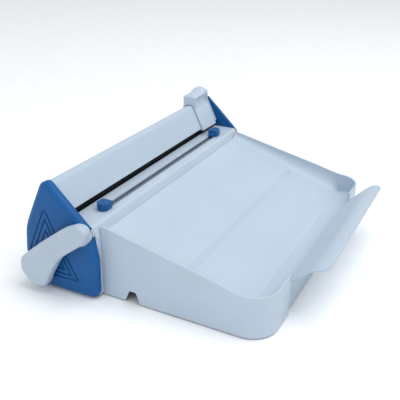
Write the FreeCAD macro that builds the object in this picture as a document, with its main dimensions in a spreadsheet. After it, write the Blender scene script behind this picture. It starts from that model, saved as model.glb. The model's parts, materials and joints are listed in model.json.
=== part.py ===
import FreeCAD, Part
import Sketcher
import math
import os
import re
from FreeCAD import Placement, Rotation, Vector

# Rotary paper trimmer with a catch tray, in millimetres.
#
# A blade wheel runs along a hollow beam that spans the machine, over a soft cutting strip.
# A lever on the left turns a cross shaft whose two pinions lift a press bar, which clamps
# the sheet against the underside of the beam.  The cut piece slides down into the tray.
#
# X runs along the beam, Y from the tray to the back, Z up.  Every outline below is drawn
# about the middle of the machine, with Z zero at the lower edge of the shells; the last
# step moves each piece so that the row's origin is under the centre of the whole object.

SIZES = {
    # where the drawing frame sits in the object's frame
    "middle_x": 8.5,
    "middle_y": 9.87,
    "foot_rise": 2.0,
    # general
    "skin": 2.5,
    # side covers and the outline that they give the machine
    "cover_out": 220.0,
    "cover_in": 208.0,
    "cover_front": 65.5,
    "cover_rear": 176.5,
    "cover_foot": 170.0,
    "cover_soft": 7.0,
    "waist_z": 42.0,
    "shoulder_y": 172.5,
    "shoulder_z": 79.0,
    "nape_y": 143.5,
    "nape_z": 142.0,
    "ridge_y": 131.5,
    "ridge_z": 147.7,
    "slope": 0.938,
    "knee_y": 73.5,
    "chest_z": 56.0,
    "groove_wide": 2.0,
    "groove_deep": 1.2,
    "groove_step": 6.4,
    "plate_thick": 2.5,
    "plate_gap": 3.2,
    # beam
    "lip_y": 110.5,
    "lip_z": 107.2,
    "lip_rear": 126.0,
    "beam_wall": 3.0,
    "beam_rear_y": 157.7,
    "brow_y": 129.5,
    "brow_z": 145.0,
    "crown_y": 142.0,
    "crown_z": 141.2,
    "port_far": 3.2,
    "port_bore": 1.45,
    "screw_in": 14.0,
    "head_far": 3.0,
    "head_tall": 2.2,
    # deck, guide rail and its slot
    "deck_z": 96.5,
    "deck_rear": 113.6,
    "front_y": 69.5,
    "step_z": 85.5,
    "deck_front": 75.0,
    "rear_top": 100.5,
    "rail_y": 91.0,
    "rail_wide": 8.0,
    "rail_half": 164.5,
    "rail_proud": 0.9,
    "slot_wide": 2.8,
    "slot_half": 162.0,
    # edge guides
    "guide_at": 160.0,
    "guide_long": 18.0,
    "guide_deep": 16.0,
    "guide_tall": 9.5,
    "nib_long": 7.0,
    "stem_wide": 2.1,
    "stem_at": 155.0,
    "stem_long": 10.0,
    # cutting strip and what carries it
    "strip_front": 128.5,
    "strip_rear": 135.5,
    "strip_top": 101.8,
    "strip_thick": 3.5,
    "bed_front": 127.5,
    "bed_rear": 141.0,
    "bed_flange": 3.0,
    "channel_z": 62.0,
    "channel_front": 100.0,
    "channel_tall": 14.0,
    "channel_thick": 2.0,
    # press bar and its drive
    "bar_front": 117.0,
    "bar_rear": 126.0,
    "bar_top": 101.8,
    "bar_tall": 11.0,
    "bar_half": 204.0,
    "pad_thick": 2.0,
    "pin_at": 150.0,
    "pin_far": 2.0,
    "pin_fit": 0.05,
    "rack_screw": 1.25,
    # lever, shaft and gears
    "pivot_y": 82.5,
    "pivot_z": 86.5,
    "shaft_far": 3.0,
    "shaft_fit": 0.05,
    "lever_out": 237.0,
    "lever_thick": 14.0,
    "lever_soft": 3.0,
    "hub_far": 10.5,
    "pin_key": 1.2,
    "gear_module": 1.0,
    "gear_teeth": 10,
    "gear_thin": 0.12,
    "gear_at": 178.0,
    "gear_wide": 6.0,
    # carriage and blade
    "car_left": 150.0,
    "car_right": 198.0,
    "car_wall": 2.8,
    "car_gap": 0.4,
    "hook_front": 4.5,
    "hook_rear": 9.0,
    "hook_screw": 0.9,
    "grip_front": 122.5,
    "grip_rear": 146.0,
    "grip_top": 159.5,
    "hump_top": 166.5,
    "hump_from": 28.0,
    "scoop_far": 16.0,
    "blade_y": 131.8,
    "blade_far": 14.0,
    "blade_thick": 1.0,
    "blade_lift": 0.35,
    "axle_far": 2.0,
    "axle_fit": 0.05,
    # tray
    "tray_half": 199.0,
    "tray_front": 151.5,
    "tray_rear": 69.3,
    "tray_corner": 34.0,
    "tray_wall": 2.5,
    "wall_rear_z": 95.7,
    "wall_front_z": 54.5,
    "floor_thick": 2.5,
    "ramp_y": 119.5,
    "ramp_z": 27.0,
    "bend_y": 139.0,
    "bend_z": 32.0,
    "crest_y": 180.0,
    "crest_z": 73.5,
    "seam_half": 130.0,
    "seam_deep": 3.4,
    "lip_half": 138.7,
    "lip_front": 196.0,
    "lip_tip_z": 77.0,
    "lip_corner": 14.0,
    "crease_at": 40.0,
    "crease_half": 172.0,
    "crease_wide": 4.5,
    "crease_deep": 1.2,
    "notch_tall": 15.0,
    # base and feet
    "base_front": 74.5,
    "base_rear": 166.0,
    "base_low": 2.0,
    "base_thick": 2.0,
    "base_tall": 12.0,
    "foot_far": 9.0,
}

doc = FreeCAD.newDocument("Trimmer")
sheet = doc.addObject("Spreadsheet::Sheet", "Sizes")
for row, (word, value) in enumerate(SIZES.items(), start=1):
    sheet.set(f"A{row}", word)
    sheet.set(f"B{row}", str(value))
    sheet.setAlias(f"B{row}", word)
doc.recompute()

made = []


def size(word):
    """The number that the sheet holds under a name."""
    return float(getattr(sheet, word))


def formula(text):
    """Puts the sheet's name in front of each size named in a formula."""
    return re.sub(r"\b[a-z]\w*\b(?!\()", lambda found: "Sizes." + found.group(), str(text))


def value_of(text):
    """Works a formula out to a number."""
    result = sheet.evalExpression(str(text))
    return float(getattr(result, "Value", result))


def bind(thing, path, text):
    """Ties one property of an object to a formula in the sheet's sizes."""
    thing.setExpression(path, formula(text))


# ---------------------------------------------------------------- sketches and prisms

def round_corner(before, corner, after, radius):
    """Start, middle, end and turning sense of the arc that rounds a corner."""
    into = (before - corner).normalize()
    out = (after - corner).normalize()
    half = into.getAngle(out) / 2
    reach = radius / math.tan(half)
    centre = corner + (into + out).normalize() * (radius / math.sin(half))
    first = corner + into * reach
    last = corner + out * reach
    turns_left = (corner - before).cross(after - corner).z > 0
    return centre, first, last, turns_left


def inset(corners, amount):
    """The same outline moved inward, its rounds kept concentric; corners run anticlockwise.

    A negative amount moves it outward.  The new corners are formulas as well.
    """
    result = []
    count = len(corners)
    points = [Vector(value_of(c[0]), value_of(c[1]), 0) for c in corners]
    for i, corner in enumerate(corners):
        before, after = corners[i - 1], corners[(i + 1) % count]
        in_x, in_y = f"(({corner[0]})-({before[0]}))", f"(({corner[1]})-({before[1]}))"
        out_x, out_y = f"(({after[0]})-({corner[0]}))", f"(({after[1]})-({corner[1]}))"
        in_long, out_long = f"sqrt({in_x}^2+{in_y}^2)", f"sqrt({out_x}^2+{out_y}^2)"
        spread = f"(1+({in_x}*{out_x}+{in_y}*{out_y})/({in_long}*{out_long}))"
        across = f"({corner[0]})-({amount})*({in_y}/{in_long}+{out_y}/{out_long})/{spread}"
        up = f"({corner[1]})+({amount})*({in_x}/{in_long}+{out_x}/{out_long})/{spread}"
        moved = (across, up)
        if len(corner) == 3:
            turn = (points[i] - points[i - 1]).cross(points[(i + 1) % count] - points[i]).z
            radius = f"({corner[2]})-({amount})" if turn > 0 else f"({corner[2]})+({amount})"
            if value_of(radius) > 0.05:
                moved = (across, up, radius)
        result.append(moved)
    return result


def outline(body, plane, corners, offset="0"):
    """A closed sketch on an origin plane; a corner is (across, up) or (across, up, radius).

    Every number in a corner is a formula, and stays bound to the sheet.
    """
    sketch = body.newObject("Sketcher::SketchObject", "Outline")
    role = {"XY": "XY_Plane", "XZ": "XZ_Plane", "YZ": "YZ_Plane"}[plane]
    face = [item for item in body.Origin.OriginFeatures if item.Role == role][0]
    sketch.AttachmentSupport = [(face, "")]
    sketch.MapMode = "FlatFace"
    bind(sketch, "AttachmentOffset.Base.z", offset)

    points = [Vector(value_of(c[0]), value_of(c[1]), 0) for c in corners]
    count = len(points)
    rounds = {}
    for i, corner in enumerate(corners):
        if len(corner) == 3:
            after = points[(i + 1) % count]
            rounds[i] = round_corner(points[i - 1], points[i], after, value_of(corner[2]))
    for i in range(count):
        begin = rounds[i][2] if i in rounds else points[i]
        following = (i + 1) % count
        end = rounds[following][1] if following in rounds else points[following]
        sketch.addGeometry(Part.LineSegment(begin, end), False)

    for i, corner in enumerate(corners):
        before = (i - 1) % count
        if i not in rounds:
            sketch.addConstraint(Sketcher.Constraint("Coincident", before, 2, i, 1))
            pin, spot = i, 1
        else:
            centre, first, last, turns_left = rounds[i]
            start, stop = (first, last) if turns_left else (last, first)
            circle = Part.Circle(centre, Vector(0, 0, 1), value_of(corner[2]))
            begin_angle = math.atan2(start.y - centre.y, start.x - centre.x)
            end_angle = math.atan2(stop.y - centre.y, stop.x - centre.x)
            arc = sketch.addGeometry(Part.ArcOfCircle(circle, begin_angle, end_angle), False)
            enter, leave = (1, 2) if turns_left else (2, 1)
            sketch.addConstraint(Sketcher.Constraint("Tangent", before, 2, arc, enter))
            sketch.addConstraint(Sketcher.Constraint("Tangent", arc, leave, i, 1))
            radius = Sketcher.Constraint("Radius", arc, value_of(corner[2]))
            bind(sketch, f"Constraints[{sketch.addConstraint(radius)}]", corner[2])
            pin = sketch.addGeometry(Part.Point(points[i]), True)
            spot = 1
            sketch.addConstraint(Sketcher.Constraint("PointOnObject", pin, 1, before))
            sketch.addConstraint(Sketcher.Constraint("PointOnObject", pin, 1, i))
        for kind, text in (("DistanceX", corner[0]), ("DistanceY", corner[1])):
            rule = Sketcher.Constraint(kind, -1, 1, pin, spot, value_of(text))
            bind(sketch, f"Constraints[{sketch.addConstraint(rule)}]", text)
    return sketch


def prism(name, plane, corners, start, end):
    """A body padded from start to end along the axis that the sketch plane faces."""
    body = doc.addObject("PartDesign::Body", name)
    offset = f"-({end})" if plane == "XZ" else f"({start})"
    sketch = outline(body, plane, corners, offset)
    pad = body.newObject("PartDesign::Pad", "Pad")
    pad.Profile = sketch
    bind(pad, "Length", f"({end}) - ({start})")
    sketch.Visibility = False
    doc.recompute()
    return body


def pocket(body, plane, corners, start, end):
    """Cuts the outline out of a body from start to end along the sketch's axis."""
    before = body.Shape.Volume
    offset = f"-({start})" if plane == "XZ" else f"({end})"
    sketch = outline(body, plane, corners, offset)
    cut = body.newObject("PartDesign::Pocket", "Pocket")
    cut.Profile = sketch
    bind(cut, "Length", f"({end}) - ({start})")
    doc.recompute()
    if not body.Shape.Volume < before - 1e-6:
        raise RuntimeError(f"{body.Name}: a pocket cut nothing")
    return body


def soften(body, wanted, radius):
    """Rounds the edges of a body's last feature for which wanted(edge) is true."""
    tip = body.Tip
    names = [f"Edge{i}" for i, edge in enumerate(tip.Shape.Edges, start=1) if wanted(edge)]
    if not names:
        raise RuntimeError(f"{body.Name}: no edge to round")
    fillet = body.newObject("PartDesign::Fillet", "Round")
    fillet.Base = (tip, names)
    bind(fillet, "Radius", radius)
    doc.recompute()
    return body


def rod(name, axis, centre, radius, start, end):
    """A cylinder along X, Y or Z; centre is its place in the other two axes."""
    cylinder = doc.addObject("Part::Cylinder", name)
    bind(cylinder, "Radius", radius)
    bind(cylinder, "Height", f"({end}) - ({start})")
    turn = {
        "X": Rotation(Vector(0, 1, 0), 90),
        "Y": Rotation(Vector(1, 0, 0), -90),
        "Z": Rotation(),
    }[axis]
    cylinder.Placement = Placement(Vector(), turn)
    place = {"X": (start, *centre), "Y": (centre[0], start, centre[1]), "Z": (*centre, start)}
    for letter, text in zip("xyz", place[axis]):
        bind(cylinder, f"Placement.Base.{letter}", text)
    return cylinder


def block(name, low, high):
    """A box between two corners given as formulas."""
    box = doc.addObject("Part::Box", name)
    for side, letter, begin, end in zip(("Length", "Width", "Height"), "xyz", low, high):
        bind(box, side, f"({end}) - ({begin})")
        bind(box, f"Placement.Base.{letter}", begin)
    return box


def fuse(name, pieces):
    """Joins overlapping pieces into one."""
    whole = doc.addObject("Part::MultiFuse", name)
    whole.Shapes = pieces
    whole.Refine = True
    return whole


def common(name, pieces):
    """Keeps what all the pieces share."""
    whole = doc.addObject("Part::MultiCommon", name)
    whole.Shapes = pieces
    whole.Refine = True
    return whole


def less(name, base, tools):
    """Takes the tools out of the base."""
    tool = tools[0] if len(tools) == 1 else fuse(name + "Tools", tools)
    whole = doc.addObject("Part::Cut", name)
    whole.Base = base
    whole.Tool = tool
    whole.Refine = True
    return whole


def group(name, pieces):
    """Keeps separate solids together in one node."""
    whole = doc.addObject("Part::Compound", name)
    whole.Links = pieces
    return whole


def screw(name, axis, centre, radius, head, start, end, head_from, head_to):
    """A plain screw: a shank and a wider head."""
    shank = rod(name + "Shank", axis, centre, radius, start, end)
    cap = rod(name + "Head", axis, centre, head, head_from, head_to)
    return fuse(name, [shank, cap])


def keep(piece, label):
    """Names a finished sub-part and moves it into the object's own frame."""
    piece.Label = label
    for letter, word in zip("xyz", ("middle_x", "middle_y", "foot_rise")):
        bind(piece, f"Placement.Base.{letter}", word)
    made.append(piece)
    return piece


def along(axis):
    """A test for straight edges that run along an axis."""
    def test(edge):
        if edge.Curve.TypeId != "Part::GeomLine":
            return False
        way = edge.Curve.Direction
        return abs(abs(getattr(way, axis.lower())) - 1) < 1e-6
    return test


def near(axis, text, loose=0.01):
    """A test for edges that lie wholly at one place along an axis."""
    place = value_of(text)

    def test(edge):
        box = edge.BoundBox
        low, high = getattr(box, axis + "Min"), getattr(box, axis + "Max")
        return abs(low - place) < loose and abs(high - place) < loose
    return test


# ---------------------------------------------------------------- shared outlines

# The side of the machine, seen along the beam: rear foot, back, ridge, slope and front.
MACHINE_SIDE = [
    ("cover_foot", "0", "9"),
    ("cover_rear", "waist_z", "60"),
    ("shoulder_y", "shoulder_z", "70"),
    ("nape_y", "nape_z", "12"),
    ("ridge_y", "ridge_z", "8"),
    ("knee_y", "ridge_z - slope * (ridge_y - knee_y)", "8"),
    ("cover_front", "chest_z", "50"),
    ("cover_front + 1", "0", "12"),
]

# The steel end plates and the hollow of the covers keep behind the beam's front face.
PLATE_SIDE = [
    ("cover_foot - plate_gap", "plate_gap", "6"),
    ("cover_rear - plate_gap", "waist_z", "46"),
    ("shoulder_y - plate_gap", "shoulder_z", "26"),
    ("nape_y - 2", "nape_z - 2", "7"),
    ("brow_y + 1", "brow_z - 1", "4"),
    ("lip_y + 2", "lip_z + 1"),
    ("lip_y + 2", "pivot_z + 7"),
    ("pivot_y - 4", "pivot_z + 7", "4"),
    ("cover_front + plate_gap", "chest_z", "46"),
    ("cover_front + plate_gap + 1", "plate_gap", "8"),
]

# the beam's section from outside
BEAM_SIDE = [
    ("lip_y", "lip_z"),
    ("beam_rear_y", "lip_z"),
    ("crown_y", "crown_z", "10"),
    ("brow_y", "brow_z", "7"),
]

# screw ports inside the beam: one under the ridge, one in the front corner
BEAM_PORTS = [("brow_y + 6.5", "brow_z - 7.4"), ("lip_y + 8.1", "lip_z + 5.1")]

# the outermost triangle groove on a side cover
TRIANGLE = [
    ("91", "20", "2"),
    ("162", "20", "2"),
    ("166", "50", "30"),
    ("137", "114", "3"),
]

# where screws join the end plates to the covers, the channel and the base
COVER_SPOTS = [("90", "24"), ("158", "24"), ("152", "62")]
CHANNEL_SPOTS = [("channel_front + 10", "channel_z + 8"), ("bed_rear - 10", "channel_z + 8")]
BASE_TAB_SPOTS = [("base_front + 22", "base_low + 7"), ("base_rear - 22", "base_low + 7")]

# where the feet stand
BASE_SPOTS = [("-178", "92"), ("178", "92"), ("-178", "148"), ("178", "148")]
TRAY_SPOTS = [("-187.6", "-96"), ("187.6", "-96")]

# upright faces where the tray is screwed to the housing
TRAY_TABS = ["10", "44"]


# ---------------------------------------------------------------- tray

def front_tray():
    """The catch tray: sloping side walls, a sloping floor, and a ramp that ends in a lip."""
    plan = [
        ("-tray_half", "-tray_front", "tray_corner"),
        ("tray_half", "-tray_front", "tray_corner"),
        ("tray_half", "tray_rear"),
        ("-tray_half", "tray_rear"),
    ]
    inner_plan = [
        ("tray_wall - tray_half", "tray_wall - tray_front", "tray_corner - tray_wall"),
        ("tray_half - tray_wall", "tray_wall - tray_front", "tray_corner - tray_wall"),
        ("tray_half - tray_wall", "tray_rear + 5"),
        ("tray_wall - tray_half", "tray_rear + 5"),
    ]
    under_top = [
        ("-tray_front - 5", "0"),
        ("tray_rear + 1", "0"),
        ("tray_rear + 1", "wall_rear_z"),
        ("-85", "62", "260"),
        ("-116", "wall_front_z", "70"),
        ("-tray_front - 5", "wall_front_z"),
    ]
    wall_block = prism("TrayPlan", "XY", plan, "0", "wall_rear_z + 5")
    wall_inside = prism("TrayInside", "XY", inner_plan, "-1", "wall_rear_z + 6")
    wall_height = prism("TrayHeight", "YZ", under_top, "-tray_half - 1", "tray_half + 1")
    wall_ring = less("TrayRing", wall_block, [wall_inside])
    walls = common("TrayWalls", [wall_ring, wall_height])

    # the floor's section: down to the crease, round the bend, up the ramp and over its crest
    bend_inward = "floor_thick * 0.6"
    bend_down = "floor_thick * 1.2"
    floor_side = [
        ("tray_rear", "step_z"),
        ("-ramp_y", "ramp_z"),
        ("-bend_y", "bend_z", "40"),
        ("-crest_y", "crest_z", "34"),
        ("-lip_front", "lip_tip_z"),
        ("-lip_front", "lip_tip_z - floor_thick"),
        (f"-crest_y + {bend_inward}", f"crest_z - {bend_down}", "31"),
        (f"-bend_y + {bend_inward}", f"bend_z - {bend_down}", "43"),
        ("-ramp_y", "ramp_z - floor_thick"),
        ("tray_rear", "step_z - floor_thick"),
    ]
    floor_plan = [
        ("0.5 - tray_half", "0.5 - tray_front", "tray_corner - 0.5"),
        ("-seam_half", "0.5 - tray_front"),
        ("-lip_half", "-lip_front", "lip_corner"),
        ("lip_half", "-lip_front", "lip_corner"),
        ("seam_half", "0.5 - tray_front"),
        ("tray_half - 0.5", "0.5 - tray_front", "tray_corner - 0.5"),
        ("tray_half - 0.5", "tray_rear"),
        ("0.5 - tray_half", "tray_rear"),
    ]
    floor_bar = prism("FloorSide", "YZ", floor_side[::-1], "-tray_half", "tray_half")
    floor_area = prism("FloorPlan", "XY", floor_plan, "0", "wall_rear_z")
    floor = common("FloorPlate", [floor_bar, floor_area])

    above_ramp = [
        ("-ramp_y", "ramp_z - 1"),
        ("-bend_y", "bend_z - 1", "40"),
        ("-crest_y", "crest_z - 1", "34"),
        ("-lip_front", "lip_tip_z - 1"),
        ("-lip_front", "wall_rear_z + 10"),
        ("-ramp_y", "wall_rear_z + 10"),
    ]
    open_front = prism("RampOpening", "YZ", above_ramp[::-1], "-seam_half", "seam_half")
    recess = block(
        "SeamRecess",
        ("-seam_half", "-tray_front - 1", "-1"),
        ("seam_half", "-tray_front + seam_deep", "bend_z + 10"),
    )
    # the front wall stands back between its two seams, closed by a short return at each
    wall_back = "-tray_front + seam_deep + tray_wall"
    set_back = [block(
        "RecessedWall",
        ("-seam_half - tray_wall", "-tray_front + seam_deep", "0"),
        ("seam_half + tray_wall", wall_back, "bend_z + 4.5"),
    )]
    for i, start in enumerate(("-seam_half - tray_wall", "seam_half")):
        set_back.append(block(f"SeamReturn{i}", (start, "-tray_front + 0.5", "0"),
                              (f"{start} + tray_wall", wall_back, "bend_z + 2")))
    trimmed = less("TrimmedWalls", walls, [open_front, recess])

    bosses = []
    for i, spot in enumerate(TRAY_SPOTS):
        bosses.append(rod(f"FootBoss{i}", "Z", spot, "foot_far", "base_low", "base_low + 5"))
    holes = []
    for side in (-1, 1):
        ends = ("tray_half - 16", "tray_half - tray_wall + 0.5")
        low, high = ends if side > 0 else (f"-({ends[1]})", f"-({ends[0]})")
        bosses.append(block(f"TrayTab{side + 1}", (low, "tray_rear - 3", "5"),
                            (high, "tray_rear", "52")))
        for i, height in enumerate(TRAY_TABS):
            spot = (f"{side} * (tray_half - 10)", height)
            holes.append(rod(f"TabHole{side + 1}{i}", "Y", spot, "port_bore",
                             "tray_rear - 4", "tray_rear + 1"))

    notch = [
        ("16", "-1"),
        ("38", "-1"),
        ("31.5", "notch_tall", "2"),
        ("22", "notch_tall", "2"),
    ]
    notches = prism("SideNotches", "YZ", notch, "-tray_half - 1", "tray_half + 1")
    # the floor falls evenly from the step to the crease at the ramp
    fall = "(step_z - ramp_z) / (tray_rear + ramp_y)"
    crease_floor = f"ramp_z + {fall} * (ramp_y - crease_at)"
    crease_side = [
        ("-crease_at - crease_wide", f"{crease_floor} + 10"),
        ("-crease_at - crease_wide", f"{crease_floor} + crease_deep"),
        ("-crease_at - crease_wide / 4", f"{crease_floor} - crease_deep", "2"),
        ("-crease_at + crease_wide / 4", f"{crease_floor} - crease_deep", "2"),
        ("-crease_at + crease_wide", f"{crease_floor} + crease_deep"),
        ("-crease_at + crease_wide", f"{crease_floor} + 10"),
    ]
    crease = prism("FloorCrease", "YZ", crease_side, "-crease_half", "crease_half")
    shell = fuse("TrayShell", [trimmed, floor, *set_back, *bosses])
    return less("Tray", shell, [notches, crease, *holes])


keep(front_tray(), "front_tray")


# ---------------------------------------------------------------- housing

def deck_cover():
    """The front housing: the step above the tray, the deck, and the slot for the guides."""
    section = [
        ("front_y", "base_low"),
        ("front_y + skin", "base_low"),
        ("front_y + skin", "step_z - 1"),
        ("deck_front + 1.5", "deck_z - skin", "2"),
        ("deck_rear", "deck_z - skin"),
        ("deck_rear", "deck_z"),
        ("deck_front", "deck_z", "5"),
        ("front_y", "step_z - 1", "3"),
    ]
    body = prism("DeckCover", "YZ", section, "-cover_in", "cover_in")
    slot = [
        ("-slot_half", "rail_y - slot_wide / 2 - 1"),
        ("slot_half", "rail_y - slot_wide / 2 - 1"),
        ("slot_half", "rail_y + slot_wide / 2 + 1"),
        ("-slot_half", "rail_y + slot_wide / 2 + 1"),
    ]
    pocket(body, "XY", slot, "deck_z - skin - 1", "deck_z + 1")
    holes = []
    for side in (-1, 1):
        for i, height in enumerate(TRAY_TABS):
            spot = (f"{side} * (tray_half - 10)", height)
            holes.append(rod(f"DeckHole{side + 1}{i}", "Y", spot, "port_bore",
                             "front_y - 1", "front_y + skin + 1"))
    # a short ear carries the deck's section on to the lever's hub, inside the cover's round cut
    ear_end = "-cover_in - plate_thick - 0.1"
    ear = common("DeckEar", [
        prism("DeckEarSide", "YZ", section, ear_end, "-cover_in + 1"),
        rod("DeckEarRound", "X", ("pivot_y", "pivot_z"), "hub_far", ear_end, "-cover_in + 1"),
    ])
    return less("DeckCoverDrilled", fuse("DeckWithEar", [body, ear]), holes)


def rear_housing():
    """The back of the machine, up to the level of the sheet slot."""
    side = [
        ("cover_foot - 1", "base_low"),
        ("cover_rear - 1.6", "waist_z", "48"),
        ("shoulder_y - 1.6", "shoulder_z", "28"),
        ("160.5", "rear_top", "6"),
        ("bed_rear + 0.5", "rear_top"),
        ("bed_rear + 0.5", "rear_top - skin"),
        ("160.5 - skin * 0.6", "rear_top - skin", "3.5"),
        ("shoulder_y - 1.6 - skin", "shoulder_z", "25.5"),
        ("cover_rear - 1.6 - skin", "waist_z", "45.5"),
        ("cover_foot - 1 - skin", "base_low"),
    ]
    return prism("RearHousing", "YZ", side, "-cover_in", "cover_in")


def end_tabs(name, front, rear, low, high, spots):
    """Folded tabs at both ends of a cross piece, with the holes for their screws."""
    tabs = []
    holes = []
    for side in (-1, 1):
        inner, outer = "cover_in - channel_thick", "cover_in"
        if side < 0:
            inner, outer = "-cover_in", "-cover_in + channel_thick"
        tabs.append(block(f"{name}Tab{side + 1}", (inner, front, low), (outer, rear, high)))
        for i, spot in enumerate(spots):
            holes.append(rod(f"{name}TabHole{side + 1}{i}", "X", spot, "port_bore",
                             f"{inner} - 1", f"{outer} + 1"))
    return tabs, holes


def base_plate():
    """A folded steel pan under the mechanism."""
    side = [
        ("base_front", "base_low"),
        ("base_rear", "base_low"),
        ("base_rear", "base_tall"),
        ("base_rear - base_thick", "base_tall"),
        ("base_rear - base_thick", "base_low + base_thick"),
        ("base_front + base_thick", "base_low + base_thick"),
        ("base_front + base_thick", "base_tall"),
        ("base_front", "base_tall"),
    ]
    pan = prism("BasePan", "YZ", side, "-cover_in", "cover_in")
    tabs, holes = end_tabs("Base", "base_front + 12", "base_rear - 12", "base_low",
                           "base_tall + 2", BASE_TAB_SPOTS)
    return less("BasePlate", fuse("BaseFolded", [pan, *tabs]), holes)


keep(deck_cover(), "deck_cover")
keep(rear_housing(), "rear_housing")
keep(base_plate(), "base_plate")


def side_cover(side):
    """A moulded end cover with soft outer edges and nested triangle grooves."""
    name = "LeftCover" if side < 0 else "RightCover"
    low, high = ("-cover_out", "-cover_in") if side < 0 else ("cover_in", "cover_out")
    outer = "-cover_out" if side < 0 else "cover_out"
    body = prism(name, "YZ", MACHINE_SIDE, low, high)
    soften(body, near("X", outer), "cover_soft")
    start = "-cover_out + skin + 1" if side < 0 else "cover_in - 1"
    end = "-cover_in + 1" if side < 0 else "cover_out - skin - 1"
    hollow = prism(name + "Hollow", "YZ", inset(PLATE_SIDE, "0.4"), start, end)
    band_tools = []
    for ring in range(4):
        rim = inset(TRIANGLE, f"{ring} * groove_step")
        band = prism(f"{name}Ring{ring}", "YZ", rim, low, high)
        core = prism(f"{name}Core{ring}", "YZ", inset(rim, "groove_wide"), low, high)
        band_tools.append(less(f"{name}Groove{ring}", band, [core]))
    skin_low = "-cover_out" if side < 0 else "cover_out - groove_deep"
    skin_high = "-cover_out + groove_deep" if side < 0 else "cover_out"
    depth = block(name + "Depth", (skin_low, "60", "0"), (skin_high, "210", "160"))
    grooves = common(name + "Grooves", [fuse(name + "Rings", band_tools), depth])
    tools = [hollow, grooves]
    if side < 0:
        # the lever's hub turns in a round cut at the upper front corner
        tools.append(rod(name + "Hole", "X", ("pivot_y", "pivot_z"), "hub_far + 0.6",
                         "-cover_out - 1", "-cover_in + 1"))
    shell = less(name + "Shell", body, tools)
    posts = []
    bores = []
    for i, spot in enumerate(COVER_SPOTS):
        ends = ("cover_in + plate_thick", "cover_out - skin")
        post_low, post_high = ends if side > 0 else (f"-({ends[1]})", f"-({ends[0]})")
        posts.append(rod(f"{name}Post{i}", "X", spot, "port_far + 0.8", post_low, post_high))
        bore_ends = ("cover_in", "cover_in + plate_thick + 5")
        bore_low, bore_high = bore_ends if side > 0 else (f"-({bore_ends[1]})", "-cover_in")
        bores.append(rod(f"{name}Bore{i}", "X", spot, "port_bore", bore_low, bore_high))
    return less(name + "Finished", fuse(name + "Solid", [shell, *posts]), bores)


keep(side_cover(-1), "left_side_cover")
keep(side_cover(1), "right_side_cover")


def side_plate(side):
    """A steel end plate inside a cover; it carries the beam, the bars and the shaft."""
    name = "LeftPlate" if side < 0 else "RightPlate"
    if side < 0:
        low, high = "-cover_in - plate_thick", "-cover_in"
    else:
        low, high = "cover_in", "cover_in + plate_thick"
    body = prism(name, "YZ", inset(PLATE_SIDE, "0.8"), low, high)
    holes = [rod(name + "ShaftHole", "X", ("pivot_y", "pivot_z"), "shaft_far + 2", low, high)]
    for i, spot in enumerate([*BEAM_PORTS, *COVER_SPOTS, *CHANNEL_SPOTS, *BASE_TAB_SPOTS]):
        holes.append(rod(f"{name}Port{i}", "X", spot, "port_bore", low, high))
    return less(name + "Drilled", body, holes)


def guide_beam():
    """The hollow beam, open below, with a screw port in two of its corners."""
    shell = prism("BeamShell", "YZ", BEAM_SIDE, "-cover_in", "cover_in")
    hollow = prism("BeamHollow", "YZ", inset(BEAM_SIDE, "beam_wall"), "-cover_in", "cover_in")
    mouth = block("BeamMouth", ("-cover_in", "lip_rear", "lip_z - 1"),
                  ("cover_in", "beam_rear_y - beam_wall * 1.7", "lip_z + beam_wall + 1"))
    section = less("BeamSection", shell, [hollow, mouth])
    posts = []
    bores = []
    for i, spot in enumerate(BEAM_PORTS):
        posts.append(rod(f"BeamPort{i}", "X", spot, "port_far", "-cover_in", "cover_in"))
        bores.append(rod(f"BeamBore{i}", "X", spot, "port_bore", "-cover_in", "cover_in"))
    return less("Beam", fuse("BeamSolid", [section, *posts]), bores)


def end_screws(name, spots):
    """Screws from outside each end plate into the ends of a cross piece."""
    pieces = []
    far, plate = "cover_in - screw_in", "cover_in + plate_thick"
    for side in (-1, 1):
        for i, spot in enumerate(spots):
            tag = f"{name}{side + 1}{i}"
            if side < 0:
                pieces.append(screw(tag, "X", spot, "port_bore", "head_far",
                                    f"-({plate})", f"-({far})",
                                    f"-({plate}) - head_tall", f"-({plate})"))
            else:
                pieces.append(screw(tag, "X", spot, "port_bore", "head_far", far, plate,
                                    plate, f"{plate} + head_tall"))
    return group(name, pieces)


def cover_screws():
    """Screws from inside each end plate into the posts of the covers."""
    pieces = []
    tip = "cover_in + plate_thick + 5"
    for side in (-1, 1):
        for i, spot in enumerate(COVER_SPOTS):
            tag = f"CoverScrew{side + 1}{i}"
            if side < 0:
                pieces.append(screw(tag, "X", spot, "port_bore", "head_far", f"-({tip})",
                                    "-cover_in", "-cover_in", "-cover_in + head_tall"))
            else:
                pieces.append(screw(tag, "X", spot, "port_bore", "head_far", "cover_in", tip,
                                    "cover_in - head_tall", "cover_in"))
    return group("CoverScrews", pieces)


keep(side_plate(-1), "left_side_plate")
keep(side_plate(1), "right_side_plate")
keep(guide_beam(), "guide_beam")
keep(end_screws("BeamScrews", BEAM_PORTS), "beam_screws")
keep(cover_screws(), "cover_screws")


# ---------------------------------------------------------------- cutting bed

def cross_channel():
    """A folded steel channel between the end plates; everything under the beam sits on it."""
    side = [
        ("channel_front", "channel_z"),
        ("bed_rear", "channel_z"),
        ("bed_rear", "channel_z + channel_tall"),
        ("bed_rear - channel_thick", "channel_z + channel_tall"),
        ("bed_rear - channel_thick", "channel_z + channel_thick"),
        ("channel_front + channel_thick", "channel_z + channel_thick"),
        ("channel_front + channel_thick", "channel_z + channel_tall"),
        ("channel_front", "channel_z + channel_tall"),
    ]
    trough = prism("ChannelTrough", "YZ", side, "-cover_in", "cover_in")
    tabs, holes = end_tabs("Channel", "channel_front", "bed_rear", "channel_z",
                           "channel_z + channel_tall", CHANNEL_SPOTS)
    return less("CrossChannel", fuse("ChannelFolded", [trough, *tabs]), holes)


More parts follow.
